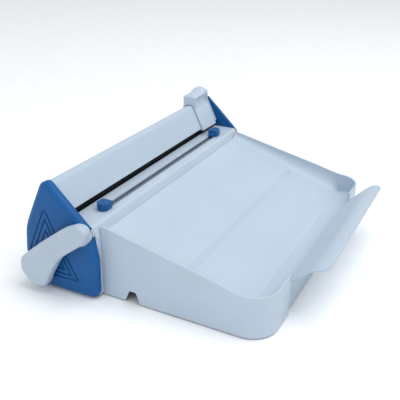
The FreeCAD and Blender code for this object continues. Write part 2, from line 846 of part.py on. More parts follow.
def strip_bed():
    """The aluminium bed of the cutting strip, standing in the channel."""
    top = "strip_top - strip_thick"
    foot = "channel_z + channel_thick"
    side = [
        ("bed_front + 2", foot),
        ("bed_rear - channel_thick", foot),
        ("bed_rear - channel_thick", f"{foot} + bed_flange"),
        ("strip_rear", f"{foot} + bed_flange"),
        ("strip_rear", f"{top} - bed_flange"),
        ("bed_rear", f"{top} - bed_flange"),
        ("bed_rear", top),
        ("bed_front", top),
        ("bed_front", f"{top} - bed_flange"),
        ("strip_rear - bed_flange", f"{top} - bed_flange"),
        ("strip_rear - bed_flange", f"{foot} + bed_flange"),
        ("bed_front + 2", f"{foot} + bed_flange"),
    ]
    return prism("StripBed", "YZ", side, "-bar_half", "bar_half")


def cutting_strip():
    """The soft strip that the blade presses into."""
    top = "strip_top"
    side = [
        ("strip_front", f"{top} - strip_thick"),
        ("strip_rear", f"{top} - strip_thick"),
        ("strip_rear", top, "0.6"),
        ("strip_front", top, "0.6"),
    ]
    return prism("CuttingStrip", "YZ", side, "-bar_half", "bar_half")


def guide_pins():
    """Two upright pins in the channel that keep the press bar square."""
    middle = "(bar_front + bar_rear) / 2"
    foot = "channel_z + channel_thick"
    pieces = []
    for side, name in (("-", "Left"), ("", "Right")):
        place = (f"{side}pin_at", middle)
        pin = rod(name + "GuidePin", "Z", place, "pin_far", foot, "bar_top - 4")
        base = rod(name + "PinFoot", "Z", place, "pin_far + 2", foot, f"{foot} + 3")
        pieces.append(fuse(name + "Pin", [pin, base]))
    return group("BarPins", pieces)


keep(cross_channel(), "cross_channel")
keep(end_screws("ChannelScrews", CHANNEL_SPOTS), "channel_screws")
keep(end_screws("BaseScrews", BASE_TAB_SPOTS), "base_screws")
keep(strip_bed(), "strip_bed")
keep(cutting_strip(), "cutting_strip")
keep(guide_pins(), "bar_guide_pins")


# ---------------------------------------------------------------- press bar and its racks

def press_bar():
    """The black bar that lifts to clamp the sheet, bored from below for its two pins."""
    low = "bar_top - bar_tall"
    side = [
        ("bar_front", low),
        ("bar_rear", low),
        ("bar_rear", "bar_top - pad_thick"),
        ("bar_front", "bar_top - pad_thick"),
    ]
    body = prism("PressBar", "YZ", side, "-bar_half", "bar_half")
    middle = "(bar_front + bar_rear) / 2"
    holes = []
    for side, name in (("-", "Left"), ("", "Right")):
        holes.append(rod(name + "PinBore", "Z", (f"{side}pin_at", middle),
                         "pin_far + pin_fit", f"{low} - 1", "bar_top - pad_thick"))
        holes.append(rod(name + "RackBore", "Z", (f"{side}(gear_at + gear_wide / 2)", middle),
                         "rack_screw", f"{low} - 1", f"{low} + 6"))
    return less("PressBarBored", body, holes)


def press_pad():
    """The rubber face on top of the press bar."""
    side = [
        ("bar_front", "bar_top - pad_thick"),
        ("bar_rear", "bar_top - pad_thick"),
        ("bar_rear", "bar_top", "0.8"),
        ("bar_front", "bar_top", "0.8"),
    ]
    return prism("PressPad", "YZ", side, "-bar_half", "bar_half")


def gear_radius():
    """Pitch radius of the pinions."""
    return size("gear_module") * size("gear_teeth") / 2


def gear_face():
    """The outline of a pinion with involute flanks, as one closed wire about the X axis."""
    module = size("gear_module")
    teeth = int(size("gear_teeth"))
    pitch = gear_radius()
    base = pitch * math.cos(math.radians(20))
    tip = pitch + 0.85 * module
    root = pitch - 1.15 * module
    rolled = math.tan(math.radians(20)) - math.radians(20)
    half_tooth = math.pi / (2 * teeth) - size("gear_thin") / pitch

    def flank(radius):
        """Half the tooth's angle at a radius; straight in to the centre below the base."""
        if radius <= base:
            return half_tooth + rolled
        lean = math.acos(base / radius)
        return half_tooth + rolled - (math.tan(lean) - lean)

    steps = [root] + [base + (tip - base) * i / 4 for i in range(5)]
    points = []
    for tooth in range(teeth):
        middle = 2 * math.pi * (tooth + 0.5) / teeth
        for radius in steps:
            turn = middle - flank(radius)
            points.append(Vector(0, radius * math.cos(turn), radius * math.sin(turn)))
        for radius in reversed(steps):
            turn = middle + flank(radius)
            points.append(Vector(0, radius * math.cos(turn), radius * math.sin(turn)))
    return Part.makePolygon(points + points[:1])


def pinion(side):
    """A small gear keyed on the cross shaft."""
    name = "LeftPinion" if side < 0 else "RightPinion"
    solid = Part.Face(gear_face()).extrude(Vector(size("gear_wide"), 0, 0))
    bore = Part.makeCylinder(size("shaft_far"), size("gear_wide"), Vector(), Vector(1, 0, 0))
    feature = doc.addObject("Part::Feature", name)
    feature.Shape = solid.cut(bore)
    start = size("gear_at") if side > 0 else -size("gear_at") - size("gear_wide")
    bored = Vector(start, size("pivot_y"), size("pivot_z"))
    feature.Placement = Placement(bored, Rotation())
    return group(name + "Node", [feature])


def lift_rack(side):
    """A bracket under the deck: rack teeth at its front, the press bar on its back end."""
    name = "LeftRack" if side < 0 else "RightRack"
    module = size("gear_module")
    pitch_y = size("pivot_y") + gear_radius()
    crest = pitch_y - 0.6 * module
    trough = pitch_y + 1.05 * module
    lean = math.tan(math.radians(20))
    pitch = math.pi * module
    centre = size("pivot_z")
    arm_low = size("channel_z") + size("channel_tall") + 2.5
    arm_high = arm_low + 5
    back = trough + 4.5
    bar_under = size("bar_top") - size("bar_tall")
    bar_wide = size("bar_rear") - size("bar_front")
    wide = size("gear_wide")

    def half_tooth(across):
        """Half a tooth's height at a place across the rack."""
        return pitch / 4 - size("gear_thin") - (pitch_y - across) * lean

    low = centre - 2.5 * pitch
    points = [Vector(0, back, low), Vector(0, trough, low)]
    for tooth in (-2, -1, 0):
        middle = centre + tooth * pitch
        points.append(Vector(0, trough, middle - half_tooth(trough)))
        points.append(Vector(0, crest, middle - half_tooth(crest)))
        points.append(Vector(0, crest, middle + half_tooth(crest)))
        points.append(Vector(0, trough, middle + half_tooth(trough)))
    top = centre + half_tooth(trough)
    points.append(Vector(0, back, top))
    column = Part.Face(Part.makePolygon(points + points[:1])).extrude(Vector(wide, 0, 0))
    arm = Part.makeBox(wide, size("bar_rear") - back, arm_high - arm_low,
                       Vector(0, back - 1, arm_low))
    post = Part.makeBox(wide, bar_wide - 2, bar_under - arm_low,
                        Vector(0, size("bar_front") + 1, arm_low))
    bore = Part.makeCylinder(size("rack_screw"), bar_under - arm_low,
                             Vector(wide / 2, size("bar_front") + bar_wide / 2, arm_low))
    feature = doc.addObject("Part::Feature", name)
    feature.Shape = column.fuse(arm).fuse(post).removeSplitter().cut(bore)
    start = size("gear_at") if side > 0 else -size("gear_at") - wide
    feature.Placement = Placement(Vector(start, 0, 0), Rotation())
    return group(name + "Node", [feature])


def rack_screws():
    """One screw up through each bracket into the press bar."""
    arm_low = "channel_z + channel_tall + 2.5"
    pieces = []
    for side, name in (("-", "Left"), ("", "Right")):
        spot = (f"{side}(gear_at + gear_wide / 2)", "(bar_front + bar_rear) / 2")
        pieces.append(screw(name + "RackScrew", "Z", spot, "rack_screw", "rack_screw + 1.2",
                            arm_low, "bar_top - bar_tall + 6", f"{arm_low} - 1.6", arm_low))
    return group("RackScrews", pieces)


keep(press_bar(), "press_bar")
keep(press_pad(), "press_pad")
keep(lift_rack(-1), "left_lift_rack")
keep(lift_rack(1), "right_lift_rack")
keep(rack_screws(), "rack_screws")


# ---------------------------------------------------------------- lever and shaft

def lever_arm():
    """The curved hand lever with its hub; the paddle hangs behind, low on the cover."""
    outline = [
        ("63.5", "104", "7.5"),
        ("68", "88", "6"),
        ("108", "57", "60"),
        ("124", "29", "40"),
        ("133", "9", "9"),
        ("155", "11", "16"),
        ("169.5", "26", "14"),
        ("168", "44", "14"),
        ("133", "74", "300"),
        ("98", "100.5", "60"),
        ("76", "110.5", "13"),
    ]
    body = prism("LeverBlade", "YZ", outline, "-lever_out", "-lever_out + lever_thick")
    soften(body, near("X", "-lever_out"), "lever_soft")
    hub = rod("LeverHub", "X", ("pivot_y", "pivot_z"), "hub_far",
              "-lever_out + lever_thick - 2", "-cover_in - plate_thick - 0.6")
    bore = rod("LeverBore", "X", ("pivot_y", "pivot_z"), "shaft_far",
               "-lever_out + 4", "-cover_in")
    pin_hole = rod("LeverPinHole", "Z", LEVER_PIN, "pin_key", "pivot_z - 9", "pivot_z + 9")
    return less("Lever", fuse("LeverSolid", [body, hub]), [bore, pin_hole])


def lever_shaft():
    """The cross shaft from the lever to the far end plate, drilled for the lever's pin."""
    shaft = rod("ShaftRod", "X", ("pivot_y", "pivot_z"), "shaft_far",
                "-lever_out + 4", "cover_in + plate_thick + 4")
    hole = rod("ShaftPinHole", "Z", LEVER_PIN, "pin_key", "pivot_z - 9", "pivot_z + 9")
    return less("LeverShaft", shaft, [hole])


def shaft_ring():
    """The ring that keeps the shaft from sliding out of the far plate."""
    spot = ("pivot_y", "pivot_z")
    start = "cover_in + plate_thick + 0.6"
    rim = rod("RingRim", "X", spot, "shaft_far + 1.6", start, f"{start} + 1.5")
    hole = rod("RingHole", "X", spot, "shaft_far", f"{start} - 1", f"{start} + 3")
    return less("ShaftRing", rim, [hole])


def shaft_bush(side):
    """A flanged bush in an end plate, running on the shaft."""
    name = "LeftBush" if side < 0 else "RightBush"
    spot = ("pivot_y", "pivot_z")
    if side < 0:
        low, high = "-cover_in - plate_thick", "-cover_in"
        flange_low, flange_high = "-cover_in", "-cover_in + 1.5"
    else:
        low, high = "cover_in", "cover_in + plate_thick"
        flange_low, flange_high = "cover_in - 1.5", "cover_in"
    sleeve = rod(name + "Sleeve", "X", spot, "shaft_far + 2", low, high)
    flange = rod(name + "Flange", "X", spot, "shaft_far + 4", flange_low, flange_high)
    bore = rod(name + "Bore", "X", spot, "shaft_far + shaft_fit", f"{low} - 3", f"{high} + 3")
    return less(name, fuse(name + "Solid", [sleeve, flange]), [bore])


# the cross pin that keys the lever's hub to the shaft, placed by X and Y
LEVER_PIN = ("-cover_out + 3", "pivot_y")

keep(lever_arm(), "lever_arm")
keep(lever_shaft(), "lever_shaft")
keep(group("LeverPin", [rod("KeyPin", "Z", LEVER_PIN, "pin_key", "pivot_z - 9", "pivot_z + 9")]),
     "lever_pin")
keep(shaft_ring(), "shaft_ring")
keep(pinion(-1), "left_pinion")
keep(pinion(1), "right_pinion")
keep(shaft_bush(-1), "left_shaft_bush")
keep(shaft_bush(1), "right_shaft_bush")


# ---------------------------------------------------------------- carriage and blade

def carriage_shell():
    """The sliding head: a saddle over the beam with an upright grip on its ridge."""
    outer = inset(BEAM_SIDE, "-car_gap - car_wall")
    wrap = prism("SaddleOuter", "YZ", outer, "car_left", "car_right")
    along_beam = along("X")
    low_edge = value_of("lip_z - 1")
    soften(wrap, lambda edge: along_beam(edge) and edge.BoundBox.ZMax < low_edge, "1.2")
    soften(wrap, near("X", "car_left"), "1.4")
    soften(wrap, near("X", "car_right"), "1.4")
    saddle_face = [
        ("car_left", "lip_z - 10"),
        ("car_right", "lip_z - car_gap - car_wall", "3"),
        ("car_right", "hump_top"),
        ("car_left", "hump_top"),
    ]
    saddle = common("Saddle", [
        wrap,
        prism("SaddleFace", "XZ", saddle_face, "lip_y - 10", "beam_rear_y + 10"),
    ])
    inner = inset(BEAM_SIDE, "-car_gap")
    hollow = prism("SaddleInner", "YZ", inner, "car_left - 1", "car_right + 1")
    mouth = block("SaddleMouth", ("car_left - 1", "lip_y + hook_front", "lip_z - 8"),
                  ("car_right + 1", "beam_rear_y - hook_rear", "lip_z + 1"))
    grip_side = [
        ("grip_front + 6", "brow_z - 15"),
        ("grip_rear", "brow_z - 15"),
        ("grip_rear", "hump_top + 5"),
        ("grip_front", "hump_top + 5"),
        ("grip_front", "brow_z - 8"),
    ]
    grip_face = [
        ("car_left", "brow_z - 20"),
        ("car_right", "brow_z - 20"),
        ("car_right", "hump_top", "9"),
        ("car_left + hump_from + 7", "hump_top", "7"),
        ("car_left + hump_from", "grip_top + 1.8", "12"),
        ("car_left", "grip_top", "3"),
    ]
    side_block = prism("GripSide", "YZ", grip_side, "car_left", "car_right")
    top_low = value_of("hump_top + 4")
    soften(side_block, lambda edge: along("Z")(edge) and edge.BoundBox.ZMax > top_low, "3")
    grip = common("Grip", [
        side_block,
        prism("GripFace", "XZ", grip_face, "grip_front - 1", "grip_rear + 1"),
    ])
    scoop = rod("Scoop", "X", ("grip_front - 11.5", "grip_top - 12"), "scoop_far",
                "car_left + 5", "car_right - 4")
    tools = [hollow, mouth, scoop]
    for i, spot in enumerate(CARRIAGE_SPOTS):
        tools.append(rod(f"HookBore{i}", "Y", spot, "hook_screw",
                         "beam_rear_y - hook_rear - 1", "beam_rear_y + 2"))
        tools.append(rod(f"HookSink{i}", "Y", spot, "hook_screw * 2 + 0.2",
                         "beam_rear_y + 1", "beam_rear_y + 9"))
    return less("Carriage", fuse("CarriageSolid", [saddle, grip]), tools)


def blade_holder():
    """The black bracket that carries the blade inside the beam, from the rear hook."""
    hook_under = "lip_z - car_gap - car_wall"
    plate = block("HolderPlate", ("car_left + 10", "blade_y + 5", hook_under),
                  ("car_right - 10", "blade_y + 9", "lip_z + 14"))
    flange = block("HolderFlange", ("car_left + 10", "blade_y + 7", hook_under),
                   ("car_right - 10", "beam_rear_y - hook_rear", "lip_z - car_gap"))
    boss = rod("HolderBoss", "Y", BLADE_SPOT, "axle_far + 3", "blade_y + 3.6", "blade_y + 9")
    tools = [rod("HolderBore", "Y", BLADE_SPOT, "axle_far", "blade_y", "blade_y + 10")]
    for i, spot in enumerate(CARRIAGE_SPOTS):
        tools.append(rod(f"FlangeBore{i}", "Y", spot, "hook_screw",
                         "beam_rear_y - hook_rear - 7", "beam_rear_y - hook_rear + 1"))
    return less("BladeHolder", fuse("HolderSolid", [plate, flange, boss]), tools)


def carriage_screws():
    """Two screws from behind, through the rear hook into the blade's bracket."""
    pieces = []
    for i, spot in enumerate(CARRIAGE_SPOTS):
        pieces.append(screw(f"CarriageScrew{i}", "Y", spot, "hook_screw", "hook_screw * 2",
                            "beam_rear_y - hook_rear - 7", "beam_rear_y + 1",
                            "beam_rear_y + 1", "beam_rear_y + 2.4"))
    return group("CarriageScrews", pieces)


def blade_axle():
    """The headed pin that the blade turns on."""
    pin = rod("AxlePin", "Y", BLADE_SPOT, "axle_far", "blade_y - 3.5", "blade_y + 9")
    head = rod("AxleHead", "Y", BLADE_SPOT, "axle_far + 1.6", "blade_y - 4.7",
               "blade_y - 3.5")
    return fuse("BladeAxle", [pin, head])


def blade_wheel():
    """The rotary blade: a thin disc with a bevelled edge."""
    disc = rod("BladeDisc", "Y", BLADE_SPOT, "blade_far",
               "blade_y - blade_thick / 2", "blade_y + blade_thick / 2")
    edge = doc.addObject("Part::Chamfer", "BladeEdge")
    edge.Base = disc
    doc.recompute()
    rims = [i for i, line in enumerate(disc.Shape.Edges, start=1)
            if line.BoundBox.XLength > 1 and line.BoundBox.YLength < 0.01]
    edge.Edges = [(i, 0.4, 1.2) for i in rims]
    hole = rod("BladeHole", "Y", BLADE_SPOT, "axle_far + 2", "blade_y - 2", "blade_y + 2")
    return less("Blade", edge, [hole])


def blade_hub():
    """The plastic hub pressed into the blade."""
    drum = rod("HubDrum", "Y", BLADE_SPOT, "axle_far + 2", "blade_y - 3", "blade_y + 3")
    collar = rod("HubCollar", "Y", BLADE_SPOT, "axle_far + 5", "blade_y + 0.5", "blade_y + 2")
    bore = rod("HubBore", "Y", BLADE_SPOT, "axle_far + axle_fit", "blade_y - 5", "blade_y + 5")
    return less("BladeHub", fuse("HubSolid", [drum, collar]), [bore])


# the blade's centre by X and Z, and the two screws of its bracket
BLADE_SPOT = ("(car_left + car_right) / 2", "strip_top + blade_lift + blade_far")
HOOK_MIDDLE = "lip_z - car_gap - car_wall / 2"
CARRIAGE_SPOTS = [("car_left + 14", HOOK_MIDDLE), ("car_right - 14", HOOK_MIDDLE)]

keep(carriage_shell(), "carriage_shell")
keep(carriage_screws(), "carriage_screws")
keep(blade_holder(), "blade_holder")
keep(blade_axle(), "blade_axle")
keep(blade_wheel(), "blade_wheel")
keep(blade_hub(), "blade_hub")


# ---------------------------------------------------------------- guide rail and guides

def guide_rail():
    """The slotted metal rail that the two edge guides slide along."""
    plan = [
        ("-rail_half", "rail_y - rail_wide / 2"),
        ("rail_half", "rail_y - rail_wide / 2"),
        ("rail_half", "rail_y + rail_wide / 2"),
        ("-rail_half", "rail_y + rail_wide / 2"),
    ]
    body = prism("GuideRail", "XY", plan, "deck_z", "deck_z + rail_proud")
    slot = [
        ("-slot_half", "rail_y - slot_wide / 2"),
        ("slot_half", "rail_y - slot_wide / 2"),
        ("slot_half", "rail_y + slot_wide / 2"),
        ("-slot_half", "rail_y + slot_wide / 2"),
    ]
    return pocket(body, "XY", slot, "deck_z - 1", "deck_z + rail_proud + 1")


def edge_guide(side):
    """A blue guide block with a nib towards the middle and a stem down through the slot."""
    name = "LeftGuide" if side < 0 else "RightGuide"
    low = "deck_z + rail_proud + 0.3"
    half = "guide_deep / 2"
    # drawn for the right-hand guide; the left one is its mirror image about the middle
    outer = "(guide_at + guide_long / 2)"
    inner = "(guide_at - guide_long / 2)"
    plan = [
        (inner, f"rail_y - {half}", "3"),
        (f"{outer} - 5", f"rail_y - {half}", "2"),
        (outer, f"rail_y - {half} + 5", "2"),
        (outer, f"rail_y + {half} - 5", "2"),
        (f"{outer} - 5", f"rail_y + {half}", "2"),
        (inner, f"rail_y + {half}", "2"),
    ]
    nib_plan = [
        (f"{inner} - nib_long", "rail_y - 4", "1.5"),
        (f"{inner} + 3", "rail_y - 4"),
        (f"{inner} + 3", "rail_y + 4"),
        (f"{inner} - nib_long", "rail_y + 4", "1.5"),
    ]
    stem_ends = ("stem_at - stem_long / 2", "stem_at + stem_long / 2")
    dimple_at = "guide_at"
    if side < 0:
        plan = [(f"-({corner[0]})", *corner[1:]) for corner in plan[::-1]]
        nib_plan = [(f"-({corner[0]})", *corner[1:]) for corner in nib_plan[::-1]]
        stem_ends = (f"-({stem_ends[1]})", f"-({stem_ends[0]})")
        dimple_at = "-guide_at"
    body = prism(name + "Block", "XY", plan, low, f"{low} + guide_tall")
    soften(body, near("Z", f"{low} + guide_tall"), "1.4")
    nib = prism(name + "Nib", "XY", nib_plan, low, f"{low} + guide_tall / 2")
    stem = block(name + "Stem",
                 (stem_ends[0], "rail_y - stem_wide / 2", "deck_z - skin - 1.5"),
                 (stem_ends[1], "rail_y + stem_wide / 2", f"{low} + 1"))
    dimple = rod(name + "Dimple", "Z", (dimple_at, "rail_y + 2"), "2.4",
                 f"{low} + guide_tall - 1", f"{low} + guide_tall + 1")
    return less(name, fuse(name + "Solid", [body, nib, stem]), [dimple])


def guide_foot(side):
    """The plate under the deck that keeps a guide in its slot."""
    name = "LeftFoot" if side < 0 else "RightFoot"
    way = "-" if side < 0 else ""
    top = "deck_z - skin - 0.35"
    plate = block(name + "Plate",
                  (f"{way}stem_at - 9", "rail_y - 5", f"{top} - 2"),
                  (f"{way}stem_at + 9", "rail_y + 5", top))
    hole = block(name + "Hole",
                 (f"{way}stem_at - stem_long / 2", "rail_y - stem_wide / 2", f"{top} - 3"),
                 (f"{way}stem_at + stem_long / 2", "rail_y + stem_wide / 2", f"{top} + 1"))
    return less(name, plate, [hole])


keep(guide_rail(), "guide_rail")
keep(edge_guide(-1), "left_edge_guide")
keep(edge_guide(1), "right_edge_guide")
keep(guide_foot(-1), "left_guide_foot")
keep(guide_foot(1), "right_guide_foot")


# ---------------------------------------------------------------- feet and screws

def feet(name, spots, low, high):
    """Round rubber feet under the shells."""
    pads = []
    for i, spot in enumerate(spots):
        pads.append(rod(f"{name}{i}", "Z", spot, "foot_far", low, high))
    return group(name, pads)


def tray_screws():
    """Screws through the tray's rear tabs into the housing's front."""
    pieces = []
    for side in (-1, 1):
        for i, height in enumerate(TRAY_TABS):
            spot = (f"{side} * (tray_half - 10)", height)
            pieces.append(screw(f"TrayScrew{side + 1}{i}", "Y", spot, "port_bore", "head_far",
                                "tray_rear - 3", "front_y + skin + 1",
                                "tray_rear - 3 - head_tall", "tray_rear - 3"))
    return group("TrayScrews", pieces)


keep(feet("BaseFeet", BASE_SPOTS, "-foot_rise", "base_low"), "base_feet")
keep(feet("TrayFeet", TRAY_SPOTS, "-foot_rise", "base_low"), "tray_feet")
keep(tray_screws(), "tray_screws")


def write_parts():
    """Checks every object, then writes each sub-part to its own file."""
    doc.recompute()
    for item in doc.Objects:
        if "Invalid" in item.State or "Error" in item.State:
            raise RuntimeError(f"{item.Name} ({item.Label}) failed: {item.State}")
    for piece in made:
        if piece.Shape.isNull() or not piece.Shape.isValid():
            raise RuntimeError(f"{piece.Label} is not a valid shape")
    os.makedirs("parts", exist_ok=True)
    for piece in made:
        solids = len(piece.Shape.Solids)
        box = piece.Shape.BoundBox
        print(f"{piece.Label:18s} {solids:2d} solids {piece.Shape.Volume:10.0f} mm3"
              f"  X {box.XMin:7.1f} {box.XMax:7.1f}  Y {box.YMin:7.1f} {box.YMax:7.1f}"
              f"  Z {box.ZMin:6.1f} {box.ZMax:6.1f}")
        piece.Shape.exportStep(f"parts/{piece.Label}.step")


write_parts()
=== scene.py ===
import json
import math
import bmesh
import bpy
from mathutils import Matrix, Vector


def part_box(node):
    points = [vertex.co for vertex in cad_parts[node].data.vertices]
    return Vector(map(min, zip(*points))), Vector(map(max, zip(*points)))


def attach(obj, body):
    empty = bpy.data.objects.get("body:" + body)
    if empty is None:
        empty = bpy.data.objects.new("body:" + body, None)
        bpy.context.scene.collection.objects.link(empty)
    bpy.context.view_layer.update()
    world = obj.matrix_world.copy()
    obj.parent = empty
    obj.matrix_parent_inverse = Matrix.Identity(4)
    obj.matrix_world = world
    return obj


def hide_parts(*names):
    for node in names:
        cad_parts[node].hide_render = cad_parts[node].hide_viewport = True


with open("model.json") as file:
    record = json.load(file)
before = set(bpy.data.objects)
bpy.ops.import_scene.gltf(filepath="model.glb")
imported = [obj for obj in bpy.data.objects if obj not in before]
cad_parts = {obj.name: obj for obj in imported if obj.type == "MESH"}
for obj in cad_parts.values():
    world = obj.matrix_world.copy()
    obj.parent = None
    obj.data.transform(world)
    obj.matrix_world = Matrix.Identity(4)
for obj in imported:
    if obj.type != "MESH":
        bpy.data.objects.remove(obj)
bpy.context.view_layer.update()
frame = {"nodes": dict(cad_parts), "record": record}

# Rotary paper trimmer.  Lengths are in metres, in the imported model's frame; the shape settings
# below and every name that ends in _mm are in millimetres.
MM = 0.001

scene = bpy.context.scene
scene.view_settings.view_transform = "Standard"
scene.view_settings.look = "None"


# ---------------------------------------------------------------- materials

def srgb(red, green, blue):
    """A colour given as 0 to 255 display values, as linear light."""
    def linear(value):
        value /= 255
        return value / 12.92 if value <= 0.04045 else ((value + 0.055) / 1.055) ** 2.4
    return (linear(red), linear(green), linear(blue), 1.0)


def scaled(colour, factor):
    """The same colour, lighter or darker."""
    return (*(min(1.0, channel * factor) for channel in colour[:3]), 1.0)


class Surface:
    """A node material on one Principled shader, with short calls for the nodes it needs."""

    def __init__(self, name, **sockets):
        self.material = bpy.data.materials.new(name)
        self.material.use_nodes = True
        self.tree = self.material.node_tree
        self.shader = self.tree.nodes["Principled BSDF"]
        self.place = self.node("ShaderNodeTexCoord").outputs["Object"]
        for socket, value in sockets.items():
            self.shader.inputs[socket.replace("_", " ")].default_value = value

    def node(self, kind, **values):
        """A new node; a keyword sets its property, or its socket of that name."""
        made = self.tree.nodes.new(kind)
        for word, value in values.items():
            if hasattr(made, word):
                setattr(made, word, value)
            else:
                made.inputs[word.replace("_", " ")].default_value = value
        return made

    def link(self, start, end):
        self.tree.links.new(start, end)

    def noise(self, size_mm, detail=2.0, roughness=0.5, stretch=(1, 1, 1)):
        """Noise whose features are about size_mm across."""
        mapping = self.node("ShaderNodeMapping")
        mapping.inputs["Scale"].default_value = [1 / part for part in stretch]
        self.link(self.place, mapping.inputs["Vector"])
        noise = self.node("ShaderNodeTexNoise", Scale=1 / (size_mm * MM), Detail=detail,
                          Roughness=roughness)
        self.link(mapping.outputs["Vector"], noise.inputs["Vector"])
        return noise.outputs["Fac"]

    def spread(self, value, low, high, start=0.3, stop=0.7):
        """A value mapped from start..stop on to low..high."""
        ramp = self.node("ShaderNodeMapRange", From_Min=start, From_Max=stop, To_Min=low,
                         To_Max=high)
        self.link(value, ramp.inputs["Value"])
        return ramp.outputs["Result"]

    def mixed(self, amount, first, second):
        """Two colours mixed by an amount; each is a colour or a socket."""
        mix = self.node("ShaderNodeMix", data_type="RGBA")
        self.link(amount, mix.inputs["Factor"])
        for socket, colour in (("A", first), ("B", second)):
            slot = [item for item in mix.inputs if item.name == socket and item.type == "RGBA"][0]
            if isinstance(colour, tuple):
                slot.default_value = colour
            else:
                self.link(colour, slot)
        return [item for item in mix.outputs if item.type == "RGBA"][0]

    def edges(self, radius_mm):
        """Rounded normals, and a mask that is 1 on an edge and 0 on a flat."""
        bevel = self.node("ShaderNodeBevel", samples=4, Radius=radius_mm * MM)
        flat = self.node("ShaderNodeNewGeometry").outputs["Normal"]
        product = self.node("ShaderNodeVectorMath", operation="DOT_PRODUCT")
        self.link(bevel.outputs["Normal"], product.inputs[0])
        self.link(flat, product.inputs[1])
        mask = self.spread(product.outputs["Value"], 1.0, 0.0, 0.8, 0.995)
        return bevel.outputs["Normal"], mask

    def colour(self, socket):
        self.link(socket, self.shader.inputs["Base Color"])

    def rough(self, socket):
        self.link(socket, self.shader.inputs["Roughness"])

    def relief(self, layers, normal=None):
        """Stacks bump layers; each is (height socket, strength, depth in millimetres)."""
        for height, strength, depth_mm in layers:
            bump = self.node("ShaderNodeBump", Strength=strength, Distance=depth_mm * MM)
            self.link(height, bump.inputs["Height"])
            if normal is not None:
                self.link(normal, bump.inputs["Normal"])
            normal = bump.outputs["Normal"]
        self.link(normal, self.shader.inputs["Normal"])


def moulded(name, colour, rough=0.45, grain_mm=0.45, grain=0.16, edge_mm=0.7, specular=0.4):
    """Moulded plastic: fine spark-eroded grain, faint flow marks, edges painted paler in broken
    patches, partly rubbed wear and partly a painted highlight.
    """
    skin = Surface(name, Specular_IOR_Level=specular, IOR=1.49)
    flow = skin.noise(60, detail=3, stretch=(2.5, 1, 1))
    tone = skin.mixed(skin.spread(flow, 0, 1), scaled(colour, 0.965), scaled(colour, 1.03))
    rounded, edge = skin.edges(edge_mm)
    # edges painted paler in broken patches: partly rubbed wear, partly a painted highlight along
    # the edges
    wear_and_edge_highlight = skin.node("ShaderNodeMath", operation="MULTIPLY")
    skin.link(edge, wear_and_edge_highlight.inputs[0])
    skin.link(skin.spread(skin.noise(9, detail=4), 0.05, 0.55), wear_and_edge_highlight.inputs[1])
    skin.colour(skin.mixed(wear_and_edge_highlight.outputs["Value"], tone, scaled(colour, 1.14)))
    skin.rough(skin.spread(skin.noise(14, detail=5), rough - 0.05, rough + 0.07))
    pores = skin.noise(grain_mm, detail=2, roughness=0.6)
    waves = skin.noise(22, detail=1)
    skin.relief([(waves, 0.10, 0.05), (pores, grain, 0.03)], rounded)
    return skin.material


def coated(name, colour, rough=0.4, peel=0.12):
    """Powder-coated metal: a soft orange peel over an even colour."""
    skin = Surface(name, IOR=1.5)
    cloud = skin.noise(80, detail=2, stretch=(3, 1, 1))
    tone = skin.mixed(skin.spread(cloud, 0, 1), scaled(colour, 0.975), scaled(colour, 1.02))
    rounded, edge = skin.edges(0.6)
    # every edge painted up to a quarter paler: a painted highlight along the edges
    skin.colour(skin.mixed(skin.spread(edge, 0.0, 0.25, 0, 1), tone, scaled(colour, 1.15)))
    skin.rough(skin.spread(skin.noise(10, detail=4), rough - 0.04, rough + 0.06))
    skin.relief([(skin.noise(1.6, detail=2), peel, 0.04)], rounded)
    return skin.material


def brushed(name, colour, rough=0.34, along=(60, 1, 1), anisotropic=0.4):
    """Metal with a fine brushed or ground grain along one axis."""
    skin = Surface(name, Metallic=1.0, Anisotropic=anisotropic)
    lines = skin.noise(0.35, detail=3, stretch=along)
    stain = skin.noise(18, detail=4)
    tone = skin.mixed(skin.spread(lines, 0, 1), scaled(colour, 0.88), scaled(colour, 1.08))
    skin.colour(skin.mixed(skin.spread(stain, 0, 0.35), tone, scaled(colour, 0.8)))
    skin.rough(skin.spread(lines, rough - 0.08, rough + 0.10))
    rounded, _ = skin.edges(0.3)
    skin.relief([(lines, 0.12, 0.02)], rounded)
    return skin.material


def rubber(name, colour, rough=0.75):
    """Matt rubber with a fine bloom."""
    skin = Surface(name, Specular_IOR_Level=0.12, IOR=1.5)
    bloom = skin.noise(5, detail=5)
    skin.colour(skin.mixed(skin.spread(bloom, 0, 1), colour, scaled(colour, 1.8)))
    skin.rough(skin.spread(bloom, rough - 0.06, rough + 0.1))
    rounded, _ = skin.edges(0.5)
    skin.relief([(skin.noise(0.5, detail=3), 0.3, 0.05)], rounded)
    return skin.material


